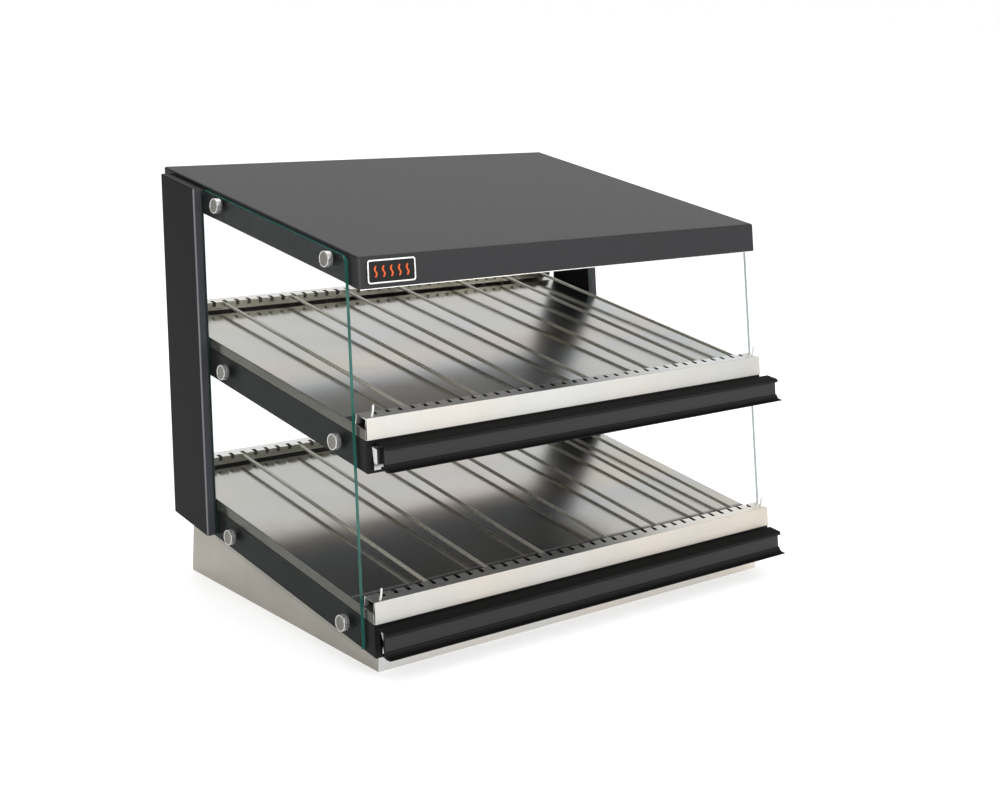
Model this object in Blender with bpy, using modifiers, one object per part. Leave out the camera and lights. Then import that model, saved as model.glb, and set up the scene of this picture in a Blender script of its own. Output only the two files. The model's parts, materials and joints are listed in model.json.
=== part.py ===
"""Heated two-tier food display case: stainless wedge base, two heated shelves, canopy, two uprights
and glass sides. The shelves and the canopy fall towards the front and the uprights lean back, so
each shelf is modelled in a level frame: X across, Y up the slope, Z square to the slope.

Origin: centre of the base's footprint, on the counter. Metres, +Z up, front at -Y.
"""

import math

import bmesh
import bpy
from mathutils import Matrix

# Angles of the side profile
SLOPE = math.radians(7.5)
LEAN = math.radians(7.5)
RAKE = math.tan(SLOPE + LEAN)

# Heights square to the slope, from the base's front bottom edge
LEVELS = {"low": 0.1118, "mid": 0.3729}
CANOPY_TOP = 0.6037
FRONT_OFFSET = -0.0230

# Stock
SHEET = 0.0015
TRAY_SHEET = 0.0012
BEND = 0.0020
GAP = 0.0003

# Base cabinet
BASE_WIDTH = 0.8374
BASE_DEPTH = 0.550
SERVICE_WINDOW = (0.272, 0.056)

# Shelves, measured down from the top edge of the lip
SHELF_DEPTH = 0.600
BODY_WIDTH = 0.8724
BODY_FRONT = 0.0020
BODY_TOP = -0.0333
BODY_BOTTOM = -0.0802
TRAY_WIDTH = 0.8712
TRAY_FRONT = 0.0040
TRAY_TOP = -0.0175
LIP_WIDTH = 0.8698
LIP_BOTTOM = -0.0317
HEATER_WIDTH = 0.780
HEATER_DEPTH = 0.480
HEATER_SHEET = 0.003

# Slotted rails and the divider rods that lie in them
SLOT_COUNT = 35
SLOT_PITCH = 0.0239
SLOT_WIDTH = 0.0072
FRONT_RAIL_START = 0.0026
FRONT_RAIL_TOP = -0.0015
FRONT_RAIL_DEPTH = 0.0276
FRONT_SLOT_START = 0.0150
REAR_RAIL_TOP = 0.0000
REAR_RAIL_START = 0.5770
REAR_RAIL_TOE = -0.0126
REAR_RAIL_HEM = 0.0035
REAR_SLOT_END = 0.5870
ROD_RADIUS = 0.0031
ROD_FRONT = (0.0161, -0.0080)
ROD_REAR = (0.5857, -0.0045)
ROD_SLOTS = {"low": (-13, -8, -3, 3, 8, 13, 16), "mid": (-14, -8, -3, 2, 8, 13, 17)}

# Price rails
PRICE_RAIL_LENGTH = 0.872
PRICE_RAIL_SHIFT = {"low": 0.0, "mid": 0.0145}
MOUNT_LENGTH = 0.852

# Lip end pins
PIN_X = 0.4215
PIN_SETBACK = 0.0055
PIN_RADIUS = 0.0018
PIN_HEIGHT = 0.0185
PIN_BOW = 0.0010

# Canopy
CANOPY_WIDTH = 0.873
CANOPY_DEPTH = 0.596
CANOPY_HEIGHT = 0.0468
CANOPY_BEND = 0.003
PAN_LEDGE = 0.0018
PAN_TOP = -0.0400
OPENING_SIZE = (0.72, 0.100)
OPENING_SETBACK = 0.290
ELEMENT_RUN = 0.330
ELEMENT_HALF_GAP = 0.028
ELEMENT_RADIUS = 0.0042
BADGE_X = (-0.4225, -0.3325)
BADGE_N = (-0.0402, -0.0050)
BADGE_THICKNESS = 0.0025

# Uprights and glass
COLUMN_INNER = 0.4368
COLUMN_OUTER = 0.4563
COLUMN_FRONT = 0.4587
COLUMN_REAR = 0.5712
COLUMN_BOTTOM = 0.0384
COLUMN_TOP = 0.5977
GLASS_THICKNESS = 0.0055
GLASS_FRONT = 0.0284
GLASS_REAR = 0.4572
GLASS_BOTTOM = 0.0322
GLASS_TOP = 0.5977
GLASS_CORNER = 0.009

# Glass standoffs
STANDOFF_RADIUS = 0.0127
STANDOFF_HEIGHT = 0.0094
STANDOFF_RIM = 0.0027
STANDOFF_RECESS = 0.0008
STUD_RADIUS = 0.0045
STANDOFF_SETBACKS = {"front": 0.0715, "rear": 0.4000}
STANDOFF_DROPS = {"low": -0.0544, "mid": -0.0544, "canopy": -0.0201}

# Rear controls
PANEL_X = 0.200
PANEL_Z = 0.050
PANEL_SIZE = (0.300, 0.076)
KNOB_OFFSETS = {"low": 0.055, "mid": -0.005}
SWITCH_OFFSET = -0.095
SWITCH_OPENING = (0.0220, 0.0300)
SWITCH_TILT = math.radians(-8)
GRIP_SIZE = (0.006, 0.034, 0.012)
SHAFT_RADIUS = 0.003
SHAFT_CLEARANCE = 0.0006
CORD_X = -0.240
CORD_EXIT = 0.046
CORD_RADIUS = 0.0042
CORD_BEND = 0.026
CORD_FOOT_BEND = 0.014

PALETTE = {
    "black_powder": ((0.045, 0.046, 0.048), 0.42, 0.0),
    "stainless": ((0.62, 0.60, 0.56), 0.30, 1.0),
    "bright_steel": ((0.75, 0.74, 0.72), 0.12, 1.0),
    "rod_steel": ((0.42, 0.40, 0.36), 0.35, 1.0),
    "black_plastic": ((0.035, 0.035, 0.034), 0.45, 0.0),
    "white_plastic": ((0.80, 0.80, 0.78), 0.40, 0.0),
    "aluminium": ((0.80, 0.80, 0.79), 0.35, 1.0),
    "badge": ((0.03, 0.03, 0.03), 0.25, 0.0),
    "element": ((0.12, 0.11, 0.10), 0.55, 1.0),
    "glass": ((0.80, 0.93, 0.90), 0.02, 0.0),
}


def clear_scene():
    for old in list(bpy.data.objects):
        bpy.data.objects.remove(old, do_unlink=True)


def new_collection(name):
    collection = bpy.data.collections.new(name)
    bpy.context.scene.collection.children.link(collection)
    return collection


def material_for(name, finish):
    colour, roughness, metallic = PALETTE[finish]
    material = bpy.data.materials.new(f"{name}_{finish}")
    material.use_nodes = True
    shader = material.node_tree.nodes["Principled BSDF"]
    shader.inputs["Base Color"].default_value = (*colour, 1.0)
    shader.inputs["Roughness"].default_value = roughness
    shader.inputs["Metallic"].default_value = metallic
    if finish == "glass":
        shader.inputs["Transmission Weight"].default_value = 1.0
        shader.inputs["IOR"].default_value = 1.5
    return material


def add_object(name, data, collection, parent=None, location=(0, 0, 0), rotation=(0, 0, 0)):
    made = bpy.data.objects.new(name, data)
    made.location = location
    made.rotation_euler = rotation
    made.parent = parent
    collection.objects.link(made)
    return made


def add_part(name, mesh, finish, parent=None, location=(0, 0, 0), rotation=(0, 0, 0)):
    if not mesh.materials:
        mesh.materials.append(material_for(name, finish))
    return add_object(name, mesh, CASE, parent, location, rotation)


def add_cutter(name, mesh, parent=None, location=(0, 0, 0), rotation=(0, 0, 0)):
    made = add_object(name, mesh, CUTTERS, parent, location, rotation)
    made.hide_render = True
    made.display_type = "WIRE"
    return made


def cut(target, cutter):
    modifier = target.modifiers.new(cutter.name, "BOOLEAN")
    modifier.operation = "DIFFERENCE"
    modifier.solver = "EXACT"
    modifier.object = cutter


def round_edges(target, width, segments=2, angle=math.radians(30)):
    modifier = target.modifiers.new("rounded_edges", "BEVEL")
    modifier.width = width
    modifier.segments = segments
    modifier.limit_method = "ANGLE"
    modifier.angle_limit = angle


def thicken(target, thickness, offset=-1.0):
    modifier = target.modifiers.new("sheet", "SOLIDIFY")
    modifier.thickness = thickness
    modifier.offset = offset
    modifier.use_even_offset = True


def shade_round(mesh):
    mesh.shade_smooth()
    mesh.set_sharp_from_angle(angle=math.radians(35))


def level_frame(name, height):
    """Empty on the leaning front plane, at a height square to the slope, turned to the slope."""
    along = FRONT_OFFSET + height * RAKE
    y = -BASE_DEPTH / 2 + along * math.cos(SLOPE) - height * math.sin(SLOPE)
    z = along * math.sin(SLOPE) + height * math.cos(SLOPE)
    return add_object(name, None, CASE, location=(0, y, z), rotation=(SLOPE, 0, 0))


def box_mesh(name, size, rake=0.0, open_side=None):
    """Box about its centre, leaned back by rake; open_side +1 leaves out its top and -1 its bottom."""
    shape = bmesh.new()
    bmesh.ops.create_cube(shape, size=1.0)
    for vertex in shape.verts:
        x, y, z = (c * s for c, s in zip(vertex.co, size))
        vertex.co = (x, y + rake * z, z)
    if open_side:
        shape.faces.ensure_lookup_table()
        gone = [f for f in shape.faces if f.calc_center_median().z * open_side > size[2] * 0.4]
        bmesh.ops.delete(shape, geom=gone, context="FACES")
    mesh = bpy.data.meshes.new(name)
    shape.to_mesh(mesh)
    shape.free()
    return mesh


def leaning_box(name, finish, frame, x, s, n, open_side=None):
    """Box in a level frame from ranges across, behind the front plane and above the level."""
    size = (x[1] - x[0], s[1] - s[0], n[1] - n[0])
    middle = [sum(pair) / 2 for pair in (x, s, n)]
    mesh = box_mesh(name, size, RAKE, open_side)
    location = (middle[0], middle[1] + RAKE * middle[2], middle[2])
    return add_part(name, mesh, finish, frame, location)


def symmetric(width):
    return (-width / 2, width / 2)


def raked(points):
    """Points measured back from the leaning front plane, as points in the level frame."""
    return [(s + RAKE * n, n) for s, n in points]


PROFILE_TURN = (math.pi / 2, 0, math.pi / 2)


def folded_strip(name, finish, frame, points, width, thickness):
    """Sheet folded along a line of (Y, Z) points and running across the case."""
    shape = bmesh.new()
    line = [shape.verts.new((s, n, -width / 2)) for s, n in points]
    edges = [shape.edges.new(pair) for pair in zip(line, line[1:])]
    grown = bmesh.ops.extrude_edge_only(shape, edges=edges)["geom"]
    moved = [item for item in grown if isinstance(item, bmesh.types.BMVert)]
    bmesh.ops.translate(shape, verts=moved, vec=(0, 0, width))
    bmesh.ops.recalc_face_normals(shape, faces=shape.faces)
    mesh = bpy.data.meshes.new(name)
    shape.to_mesh(mesh)
    shape.free()
    strip = add_part(name, mesh, finish, frame, rotation=PROFILE_TURN)
    thicken(strip, thickness, offset=0.0)
    return strip


def welded_mesh(curve_object):
    """The curve's evaluated mesh with its caps joined; the curve itself is removed."""
    bpy.context.view_layer.update()
    graph = bpy.context.evaluated_depsgraph_get()
    mesh = bpy.data.meshes.new_from_object(curve_object.evaluated_get(graph))
    shape = bmesh.new()
    shape.from_mesh(mesh)
    bmesh.ops.remove_doubles(shape, verts=shape.verts, dist=1e-6)
    bmesh.ops.recalc_face_normals(shape, faces=shape.faces)
    shape.to_mesh(mesh)
    shape.free()
    bpy.data.objects.remove(curve_object, do_unlink=True)
    return mesh


def outline_mesh(name, points, width):
    """Flat closed outline, extruded across its plane."""
    curve = bpy.data.curves.new(name, "CURVE")
    curve.dimensions = "2D"
    curve.fill_mode = "BOTH"
    curve.extrude = width / 2
    spline = curve.splines.new("POLY")
    spline.points.add(len(points) - 1)
    for point, (u, v) in zip(spline.points, points):
        point.co = (u, v, 0, 1)
    spline.use_cyclic_u = True
    return welded_mesh(add_object(f"{name}_outline", curve, CUTTERS))


def tube_mesh(name, points, radius, swell=None):
    """Round tube along points; swell gives a radius factor for each point."""
    curve = bpy.data.curves.new(name, "CURVE")
    curve.dimensions = "3D"
    curve.bevel_depth = radius
    curve.bevel_resolution = 2
    curve.use_fill_caps = True
    spline = curve.splines.new("POLY")
    spline.points.add(len(points) - 1)
    for index, (point, place) in enumerate(zip(spline.points, points)):
        point.co = (*place, 1)
        point.radius = swell[index] if swell else 1.0
    return welded_mesh(add_object(f"{name}_path", curve, CUTTERS))


def turned(name, finish, profile, steps, frame, location, rotation, mesh=None):
    """Round piece: (radius, height) points turned about local Z."""
    if mesh is None:
        mesh = bpy.data.meshes.new(name)
        places = [(r, 0, h) for r, h in profile]
        mesh.from_pydata(places, [(i, i + 1) for i in range(len(places) - 1)], [])
    made = add_part(name, mesh, finish, frame, location, rotation)
    screw = made.modifiers.new("turned", "SCREW")
    screw.steps = screw.render_steps = steps
    screw.use_merge_vertices = True
    screw.merge_threshold = 0.00001
    screw.use_smooth_shade = True
    return made


def arc(centre, radius, start, end, steps):
    """Points of an arc in a plane, angles in degrees."""
    angles = [math.radians(start + (end - start) * i / steps) for i in range(steps + 1)]
    return [(centre[0] + radius * math.cos(a), centre[1] + radius * math.sin(a)) for a in angles]


def make_base():
    """Stainless tub whose rim follows the slope, open under the low shelf."""
    rim = LEVELS["low"] + BODY_BOTTOM - GAP
    mesh = box_mesh("base_cabinet", (BASE_WIDTH, BASE_DEPTH, 2.0), open_side=1)
    for vertex in mesh.vertices:
        front = vertex.co.y + BASE_DEPTH / 2
        vertex.co.z = (rim + front * math.sin(SLOPE)) / math.cos(SLOPE) if vertex.co.z > 0 else 0.0
    base = add_part("base_cabinet", mesh, "stainless")
    round_edges(base, BEND)
    thicken(base, SHEET)
    window = box_mesh("service_window_cutter", (SERVICE_WINDOW[0], 0.03, SERVICE_WINDOW[1]))
    cut(base, add_cutter("service_window_cutter", window, location=(PANEL_X, BASE_DEPTH / 2, PANEL_Z)))


def make_shelf(tier, frame):
    body = leaning_box(f"{tier}_shelf_body", "black_powder", frame, symmetric(BODY_WIDTH),
                       (BODY_FRONT, SHELF_DEPTH), (BODY_BOTTOM, BODY_TOP), open_side=1)
    round_edges(body, BEND)
    thicken(body, SHEET)
    tray = leaning_box(f"{tier}_tray", "stainless", frame, symmetric(TRAY_WIDTH),
                       (TRAY_FRONT, SHELF_DEPTH), (BODY_TOP + GAP, TRAY_TOP), open_side=-1)
    round_edges(tray, BEND)
    thicken(tray, TRAY_SHEET)
    lip = leaning_box(f"{tier}_front_lip", "stainless", frame, symmetric(LIP_WIDTH),
                      (0.0, SHEET), (LIP_BOTTOM, 0.0))
    round_edges(lip, 0.0004, segments=1)
    heater_top = TRAY_TOP - TRAY_SHEET - GAP
    middle = SHELF_DEPTH / 2
    leaning_box(f"{tier}_heater_plate", "element", frame, symmetric(HEATER_WIDTH),
                (middle - HEATER_DEPTH / 2, middle + HEATER_DEPTH / 2),
                (heater_top - HEATER_SHEET, heater_top))


def slot_cutter(name, frame, s, n):
    """Row of boxes that notches a rail at each slot."""
    size = (SLOT_WIDTH, s[1] - s[0], n[1] - n[0])
    place = (-(SLOT_COUNT - 1) / 2 * SLOT_PITCH, sum(s) / 2, sum(n) / 2)
    cutter = add_cutter(name, box_mesh(name, size), frame, place)
    row = cutter.modifiers.new("row", "ARRAY")
    row.count = SLOT_COUNT
    row.use_relative_offset = False
    row.use_constant_offset = True
    row.constant_offset_displace = (SLOT_PITCH, 0, 0)
    return cutter


def make_slotted_rails(tier, frame):
    foot = TRAY_TOP + GAP
    half = SHEET / 2
    width = LIP_WIDTH - 0.002
    above = 0.010
    start = FRONT_RAIL_START
    flange = FRONT_RAIL_TOP - half
    heel = FRONT_RAIL_DEPTH - half
    front = folded_strip(f"{tier}_front_slotted_rail", "stainless", frame,
                         [(start, foot), (start, flange), (heel, flange), (heel, foot)], width, SHEET)
    cut(front, slot_cutter(f"{tier}_front_slot_cutter", frame, (FRONT_SLOT_START, heel + SHEET),
                           (ROD_FRONT[1] - ROD_RADIUS - GAP, above)))
    shelf = REAR_RAIL_TOP - half
    leg = REAR_RAIL_START
    back = SHELF_DEPTH - BEND
    points = [(leg - REAR_RAIL_HEM, REAR_RAIL_TOE), (leg, REAR_RAIL_TOE), (leg, shelf),
              (back + RAKE * shelf, shelf), (back + RAKE * foot, foot)]
    rear = folded_strip(f"{tier}_rear_slotted_rail", "stainless", frame, points, width, SHEET)
    cut(rear, slot_cutter(f"{tier}_rear_slot_cutter", frame, (leg - SHEET, REAR_SLOT_END),
                          (ROD_REAR[1] - ROD_RADIUS - GAP, above)))


def make_rods(tier, frame):
    run = ROD_REAR[0] - ROD_FRONT[0]
    rise = ROD_REAR[1] - ROD_FRONT[1]
    length = math.hypot(run, rise)
    shape = bmesh.new()
    bmesh.ops.create_cone(shape, cap_ends=True, segments=12, radius1=ROD_RADIUS, radius2=ROD_RADIUS,
                          depth=length)
    mesh = bpy.data.meshes.new(f"{tier}_divider_rod")
    shape.to_mesh(mesh)
    shape.free()
    shade_round(mesh)
    middle = [(a + b) / 2 for a, b in zip(ROD_FRONT, ROD_REAR)]
    turn = (-math.pi / 2 + math.atan2(rise, run), 0, 0)
    for number, slot in enumerate(ROD_SLOTS[tier], start=1):
        add_part(f"{tier}_divider_rod_{number}", mesh, "rod_steel", frame,
                 (slot * SLOT_PITCH, *middle), turn)


def make_price_rail(tier, frame):
    """Label rail that hooks over its mount, and the mount on the shelf's front face."""
    mount_outline = raked([(0.0017, -0.0415), (-0.0102, -0.0415), (-0.0102, -0.0630),
                           (-0.0015, -0.0630), (-0.0015, -0.0740), (0.0017, -0.0740)])
    mount = outline_mesh(f"{tier}_price_rail_mount", mount_outline, MOUNT_LENGTH)
    add_part(f"{tier}_price_rail_mount", mount, "aluminium", frame, rotation=PROFILE_TURN)
    outline = raked([
        (-0.0030, -0.0335), (-0.0195, -0.0328), (-0.0262, -0.0328), (-0.0278, -0.0342),
        (-0.0278, -0.0382), (-0.0264, -0.0382), (-0.0262, -0.0346), (-0.0209, -0.0346),
        (-0.0209, -0.0636), (-0.0218, -0.0640), (-0.0221, -0.0606), (-0.0233, -0.0606),
        (-0.0245, -0.0634), (-0.0272, -0.0662), (-0.0366, -0.0660), (-0.0366, -0.0670),
        (-0.0278, -0.0695), (-0.0210, -0.0690), (-0.0130, -0.0690), (-0.0124, -0.0662),
        (-0.0140, -0.0660), (-0.0145, -0.0674), (-0.0192, -0.0674), (-0.0192, -0.0344),
        (-0.0044, -0.0352), (-0.0044, -0.0395), (-0.0030, -0.0395)])
    rail = outline_mesh(f"{tier}_price_rail", outline, PRICE_RAIL_LENGTH)
    add_part(f"{tier}_price_rail", rail, "black_plastic", frame,
             (PRICE_RAIL_SHIFT[tier], 0, 0), PROFILE_TURN)


def make_end_pins(tier, frame):
    """Short curved wire pins that stand behind the lip at its ends."""
    foot = FRONT_RAIL_TOP + GAP
    height = PIN_HEIGHT - foot
    for side, sign in (("left", -1), ("right", 1)):
        bend = [(PIN_BOW * math.sin(math.pi * t / 4), 0, foot + height * t / 4) for t in range(5)]
        mesh = tube_mesh(f"{tier}_{side}_end_pin", bend, PIN_RADIUS)
        shade_round(mesh)
        add_part(f"{tier}_{side}_end_pin", mesh, "white_plastic", frame,
                 (sign * PIN_X, PIN_SETBACK, 0))


def make_canopy(frame):
    """Black shell, stainless bottom pan with the heater opening, the element, and the badge."""
    shell = leaning_box("canopy_shell", "black_powder", frame, symmetric(CANOPY_WIDTH),
                        (0.0, CANOPY_DEPTH), (-CANOPY_HEIGHT, 0.0), open_side=-1)
    round_edges(shell, CANOPY_BEND)
    thicken(shell, SHEET)
    inset = SHEET + 2 * GAP
    pan = leaning_box("canopy_bottom_pan", "stainless", frame, symmetric(CANOPY_WIDTH - 2 * inset),
                      (inset, CANOPY_DEPTH - inset), (-CANOPY_HEIGHT - PAN_LEDGE, PAN_TOP), open_side=1)
    thicken(pan, SHEET)
    opening = box_mesh("heater_opening_cutter", (*OPENING_SIZE, 0.02))
    cut(pan, add_cutter("heater_opening_cutter", opening, frame, (0, OPENING_SETBACK, -CANOPY_HEIGHT)))
    bend = arc((ELEMENT_RUN, 0), ELEMENT_HALF_GAP, -90, 90, 8)
    path = [(-ELEMENT_RUN, -ELEMENT_HALF_GAP)] + bend + [(-ELEMENT_RUN, ELEMENT_HALF_GAP)]
    mesh = tube_mesh("canopy_heater", [(x, y, 0) for x, y in path], ELEMENT_RADIUS)
    shade_round(mesh)
    add_part("canopy_heater", mesh, "element", frame, (0, OPENING_SETBACK, PAN_TOP))
    badge = leaning_box("badge", "badge", frame, BADGE_X, (-GAP - BADGE_THICKNESS, -GAP), BADGE_N)
    round_edges(badge, BADGE_THICKNESS / 4, segments=1)


def standoff_height(level):
    base = CANOPY_TOP if level == "canopy" else LEVELS[level]
    return base + STANDOFF_DROPS[level]


def make_side(side, sign, frame):
    """Upright, glass panel and standoffs of one side, in the frame at the front plane's foot."""
    span = sorted((sign * COLUMN_INNER, sign * COLUMN_OUTER))
    column = leaning_box(f"{side}_column", "black_powder", frame, span,
                         (COLUMN_FRONT, COLUMN_REAR), (COLUMN_BOTTOM, COLUMN_TOP), open_side=-1)
    round_edges(column, BEND)
    thicken(column, SHEET)
    inner = COLUMN_INNER
    outer = inner + GLASS_THICKNESS
    glass_x = sorted((sign * inner, sign * outer))
    glass = leaning_box(f"{side}_glass_panel", "glass", frame, glass_x,
                        (GLASS_FRONT, GLASS_REAR), (GLASS_BOTTOM, GLASS_TOP))
    round_glass_corners(glass.data)
    for level in STANDOFF_DROPS:
        height = standoff_height(level)
        for end, setback in STANDOFF_SETBACKS.items():
            place = (sign * (outer + GAP), setback + RAKE * height, height)
            make_standoff(f"{side}_{level}_{end}_standoff", sign, frame, place)
            cut(glass, hole_cutter(f"{side}_{level}_{end}_hole_cutter", frame, place, STUD_RADIUS + GAP))


def round_glass_corners(mesh):
    shape = bmesh.new()
    shape.from_mesh(mesh)
    corners = [e for e in shape.edges if abs(e.verts[0].co.x - e.verts[1].co.x) > GLASS_THICKNESS / 2]
    bmesh.ops.bevel(shape, geom=corners, offset=GLASS_CORNER, segments=4, profile=0.5, affect="EDGES")
    shape.to_mesh(mesh)
    shape.free()


def hole_cutter(name, frame, place, radius):
    shape = bmesh.new()
    bmesh.ops.create_cone(shape, cap_ends=True, segments=16, radius1=radius, radius2=radius, depth=0.03)
    mesh = bpy.data.meshes.new(name)
    shape.to_mesh(mesh)
    shape.free()
    return add_cutter(name, mesh, frame, place, (0, math.pi / 2, 0))


def make_standoff(name, sign, frame, place):
    """Round cap against the glass, with a shallow dish in its face and its stud in the glass's hole."""
    reach = GLASS_THICKNESS + GAP
    rim = STANDOFF_RADIUS - STANDOFF_RIM
    dish = STANDOFF_HEIGHT - STANDOFF_RECESS
    profile = [(0, dish), (rim, dish), (rim, STANDOFF_HEIGHT), (STANDOFF_RADIUS, STANDOFF_HEIGHT),
               (STANDOFF_RADIUS, 0), (STUD_RADIUS, 0), (STUD_RADIUS, -reach), (0, -reach)]
    SHARED["standoff"] = turned(name, "bright_steel", profile, 20, frame, place,
                                (0, sign * math.pi / 2, 0), SHARED.get("standoff")).data


def make_controls():
    """Rear service panel with the power rocker, one heat knob per shelf, and the supply cord."""
    rear = BASE_DEPTH / 2
    face = rear + GAP + SHEET
    size = (PANEL_SIZE[0], SHEET, PANEL_SIZE[1])
    panel = add_part("rear_control_panel", box_mesh("rear_control_panel", size), "stainless",
                     location=(PANEL_X, rear + GAP + SHEET / 2, PANEL_Z))
    opening = box_mesh("switch_opening_cutter", (SWITCH_OPENING[0], 0.02, SWITCH_OPENING[1]))
    switch_x = PANEL_X + SWITCH_OFFSET
    cut(panel, add_cutter("switch_opening_cutter", opening, location=(switch_x, rear, PANEL_Z)))
    pivot = add_object("power_switch_pivot", None, CASE, location=(switch_x, rear, PANEL_Z))
    rocker = [(-0.007, -0.006), (0.003, -0.0125), (0.0065, -0.0125), (0.0040, 0.0), (0.0065, 0.0125),
              (0.003, 0.0125), (-0.007, 0.006)]
    mesh = outline_mesh("power_switch", rocker, SWITCH_OPENING[0] - 0.001)
    pivot.rotation_euler = (SWITCH_TILT, 0, 0)
    add_part("power_switch", mesh, "black_plastic", pivot, rotation=PROFILE_TURN)
    for tier, offset in KNOB_OFFSETS.items():
        make_knob(tier, panel, (PANEL_X + offset, face + GAP, PANEL_Z))
    make_cord(rear)


def make_knob(tier, panel, place):
    """Turned knob with a raised grip bar; its shaft passes through the panel."""
    name = f"{tier}_heat_knob"
    facing = (-math.pi / 2, 0, 0)
    profile = [(0, 0.010), (0.015, 0.010), (0.017, 0.008), (0.018, 0), (SHAFT_RADIUS, 0),
               (SHAFT_RADIUS, -0.012), (0, -0.012)]
    knob = turned(name, "black_plastic", profile, 24, None, place, facing)
    grip = add_cutter(f"{name}_grip", box_mesh(f"{name}_grip", GRIP_SIZE), None,
                      (place[0], place[1] + GRIP_SIZE[2], place[2]), facing)
    joined = knob.modifiers.new("grip", "BOOLEAN")
    joined.operation = "UNION"
    joined.solver = "EXACT"
    joined.object = grip
    shaft_hole = hole_cutter(f"{name}_hole_cutter", None, place, SHAFT_RADIUS + SHAFT_CLEARANCE)
    shaft_hole.rotation_euler = facing
    cut(panel, shaft_hole)


def make_cord(rear):
    """Supply cord: gland at the cabinet wall, two bends, and a moulded end lying on the counter."""
    gland = 0.014
    tail = 0.035
    tip_swell = 1.45
    wall = rear + GAP
    step = CORD_RADIUS / 8
    out = wall + gland + step
    down_at = out + CORD_BEND
    floor = CORD_RADIUS * tip_swell + step
    rise = floor + CORD_FOOT_BEND
    straight = [(CORD_X, y, CORD_EXIT) for y in (wall, wall + gland, out)]
    down = [(CORD_X, out + y, CORD_EXIT + z) for y, z in arc((0, -CORD_BEND), CORD_BEND, 90, 0, 5)[1:]]
    along = [(CORD_X + x, down_at, rise + z)
             for x, z in arc((CORD_FOOT_BEND, 0), CORD_FOOT_BEND, 180, 270, 4)]
    end = CORD_X + 0.13
    points = straight + down + along + [(x, down_at, floor) for x in (end, end + step, end + tail)]
    swell = [2.0, 2.0] + [1.0] * (len(points) - 4) + [tip_swell, tip_swell]
    mesh = tube_mesh("power_cord", points, CORD_RADIUS, swell)
    shade_round(mesh)
    add_part("power_cord", mesh, "black_plastic")


clear_scene()
CASE = new_collection("food_display_case")
CUTTERS = new_collection("cutters")
CUTTERS.hide_render = True
SHARED = {}

make_base()
for tier_name, tier_height in LEVELS.items():
    tier_frame = level_frame(f"{tier_name}_level", tier_height)
    make_shelf(tier_name, tier_frame)
    make_slotted_rails(tier_name, tier_frame)
    make_rods(tier_name, tier_frame)
    make_price_rail(tier_name, tier_frame)
    make_end_pins(tier_name, tier_frame)
make_canopy(level_frame("canopy_level", CANOPY_TOP))
side_frame = level_frame("side_frame", 0.0)
for side_name, side_sign in (("left", -1), ("right", 1)):
    make_side(side_name, side_sign, side_frame)
make_controls()
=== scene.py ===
"""Looks of the heated two-tier food display case: finishes, fine pieces, studio and camera.

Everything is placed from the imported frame. Metres, +Z up, front at -Y. The shelves and the canopy
slope by SLOPE towards the front, and the front plane leans back by the same angle.
"""

import json
import math

import bmesh
import bpy
from mathutils import Matrix, Vector

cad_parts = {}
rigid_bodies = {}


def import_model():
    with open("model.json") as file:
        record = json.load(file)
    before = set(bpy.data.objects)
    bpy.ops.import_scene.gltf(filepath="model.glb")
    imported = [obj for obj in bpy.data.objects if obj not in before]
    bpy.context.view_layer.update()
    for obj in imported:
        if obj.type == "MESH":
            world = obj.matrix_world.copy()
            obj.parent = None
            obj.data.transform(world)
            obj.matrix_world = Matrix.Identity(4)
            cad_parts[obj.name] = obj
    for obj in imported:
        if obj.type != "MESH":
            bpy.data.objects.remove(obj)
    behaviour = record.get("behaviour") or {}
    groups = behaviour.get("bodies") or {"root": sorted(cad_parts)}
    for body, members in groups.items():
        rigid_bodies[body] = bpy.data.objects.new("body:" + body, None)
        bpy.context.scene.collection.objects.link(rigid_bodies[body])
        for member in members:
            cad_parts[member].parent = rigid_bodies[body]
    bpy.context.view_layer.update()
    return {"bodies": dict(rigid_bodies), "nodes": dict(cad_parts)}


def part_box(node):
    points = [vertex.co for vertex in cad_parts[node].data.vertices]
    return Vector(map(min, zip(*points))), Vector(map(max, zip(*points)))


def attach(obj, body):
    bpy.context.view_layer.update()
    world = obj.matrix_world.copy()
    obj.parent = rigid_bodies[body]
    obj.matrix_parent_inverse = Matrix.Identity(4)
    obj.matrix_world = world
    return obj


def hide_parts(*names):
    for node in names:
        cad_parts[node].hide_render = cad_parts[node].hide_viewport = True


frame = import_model()
NODES = frame["nodes"]

TIERS = ("low", "mid")
SIDES = ("left", "right")
SLOPE = math.radians(7.5)
RAKE = math.tan(2 * SLOPE)
UP = Vector((0, 0, 1))
ACROSS = Vector((1, 0, 0))
UP_SLOPE = Vector((0, math.cos(SLOPE), math.sin(SLOPE)))
OFF_SLOPE = Vector((0, -math.sin(SLOPE), math.cos(SLOPE)))
UP_FRONT = Vector((0, math.sin(SLOPE), math.cos(SLOPE)))
OFF_FRONT = Vector((0, -math.cos(SLOPE), math.sin(SLOPE)))

LIP_SHEET = 0.0015
TRAY_GRAIN = Vector((0.64, 0.77, 0.0))
KNOB_SWEEP = 270
MERGE = 0.00002
SHEET_EDGE, FINE_EDGE = 0.00035, 0.00015


# ---------------------------------------------------------------- materials

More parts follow.
